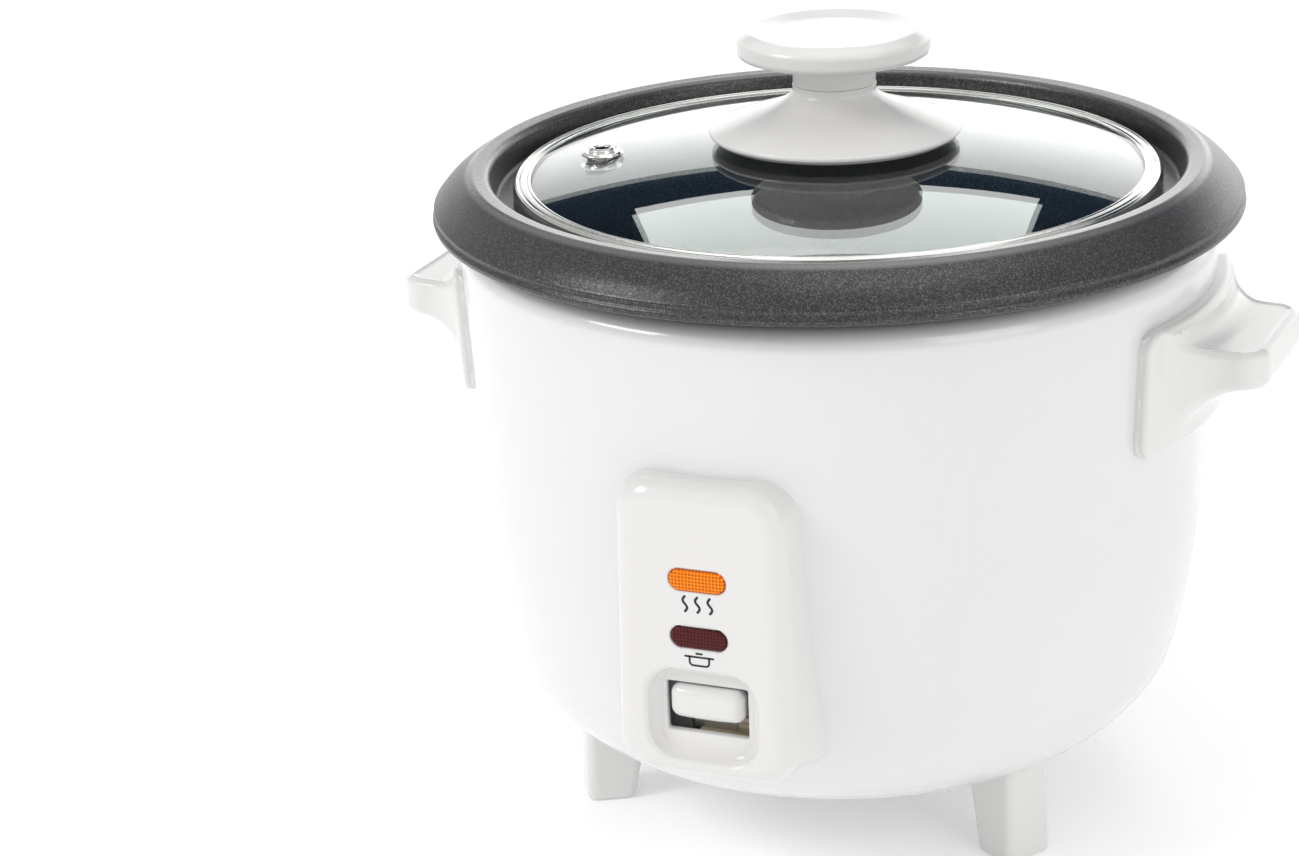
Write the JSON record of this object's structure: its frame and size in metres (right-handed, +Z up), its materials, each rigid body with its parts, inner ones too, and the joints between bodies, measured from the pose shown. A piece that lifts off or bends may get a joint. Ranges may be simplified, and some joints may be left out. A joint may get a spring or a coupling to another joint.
{
  "type": "rice cooker",
  "caption": "Small electric rice cooker: white rounded body on three feet, non-stick pot, domed glass lid with knob, side handles and a front switch panel.",
  "frame": {"origin": "on the cooker's vertical axis, at the height of the surface its feet stand on", "axes": "+Z up; -Y towards the front with the switch panel, +Y towards the rear power inlet; X through the two side handles"},
  "size_m": [0.232, 0.206, 0.2041],
  "materials": {
    "body_paint": "gloss white baked enamel on steel sheet",
    "liner_steel": "satin galvanised sheet",
    "heater_wrap": "woven glass-fibre heating band",
    "fasteners": "bright zinc plate",
    "spring_wire": "drawn spring wire",
    "white_plastic": "glossy white moulding",
    "holder_plastic": "matt off-white moulding",
    "plate_aluminium": "cast and turned face",
    "element_tube": "dark oxidised tube",
    "terminal_brass": "plain brass",
    "ferrite": "dull sintered ferrite",
    "black_plastic": "fine-grained black moulding",
    "fuse_sleeve": "pale varnished glass sleeve",
    "warm_lens": "translucent orange, stippled",
    "cook_lens": "translucent dark red",
    "lamp_glass": "clear neon lamp",
    "wire_insulation": "silicone insulation",
    "pot_coating": "satin charcoal non-stick coating with a fine fleck",
    "lid_glass": "clear tempered glass, faintly green",
    "lid_ring_steel": "polished stainless steel",
    "vent_steel": "polished eyelet",
    "gasket_rubber": "white silicone"
  },
  "bodies": {
    "base": {"outer_body": "body_paint", "inner_liner": "liner_steel", "base_cover": "body_paint", "cover_screws": "fasteners", "foot_left": "white_plastic", "foot_right": "white_plastic", "foot_rear": "white_plastic", "foot_screws": "fasteners", "handle_left": "white_plastic", "handle_right": "white_plastic", "handle_screws": "fasteners", "support_posts": "fasteners", "post_screws": "fasteners", "heating_plate": "plate_aluminium", "heating_element": "element_tube", "element_terminals": "terminal_brass", "heater_screws": "fasteners", "thermostat_bracket": "liner_steel", "bracket_rivets": "fasteners", "thermostat_sleeve": "liner_steel", "thermostat_spring": "spring_wire", "lever_bracket": "liner_steel", "lever_pin": "fasteners", "microswitch": "black_plastic", "thermal_fuse": "fuse_sleeve", "keep_warm_heater": "heater_wrap", "control_panel": "white_plastic", "panel_screws": "fasteners", "warm_lens": "warm_lens", "cook_lens": "cook_lens", "lamp_holder": "holder_plastic", "warm_lamp": "lamp_glass", "cook_lamp": "lamp_glass", "inlet_housing": "black_plastic", "inlet_pins": "terminal_brass", "inlet_screws": "fasteners", "wiring": "wire_insulation"},
    "pot": {"inner_pot": "pot_coating"},
    "lid": {"lid_glass": "lid_glass", "lid_ring": "lid_ring_steel", "vent_grommet": "vent_steel", "knob_top": "white_plastic", "knob_base": "white_plastic", "knob_screw": "fasteners", "knob_washer": "fasteners", "knob_gasket": "gasket_rubber"},
    "lever": {"lever_arm": "liner_steel", "lever_knob": "white_plastic"},
    "magnet": {"magnet_rod": "fasteners", "magnet_disc": "ferrite"},
    "thermostat": {"thermostat_cap": "plate_aluminium", "ferrite_disc": "ferrite"}
  },
  "joints": [
    {"name": "pot_lift", "type": "slide", "parent": "base", "child": "pot", "axis": [0, 0, 1], "range_m": [0, 0.14]},
    {"name": "lid_lift", "type": "slide", "parent": "pot", "child": "lid", "axis": [0, 0, 1], "range_m": [0, 0.07]},
    {"name": "cook_switch", "type": "hinge", "parent": "base", "child": "lever", "pos_m": [0, -0.066, 0.04595], "axis": [1, 0, 0], "range_deg": [0, 6], "stiffness_Nm_per_rad": 0.05, "springref_deg": -5.73},
    {"name": "magnet_lift", "type": "slide", "parent": "base", "child": "magnet", "axis": [0, 0, 1], "range_m": [0, 0.00692]},
    {"name": "cap_rise", "type": "slide", "parent": "base", "child": "thermostat", "axis": [0, 0, 1], "range_m": [0, 0.0025], "deforming": ["thermostat_spring"]}
  ],
  "couplings": [
    {"joint": "magnet_lift", "follows": "cook_switch", "m_per_rad": 0.066},
    {"joint": "cap_rise", "follows": "pot_lift", "ratio": 0.017857}
  ]
}
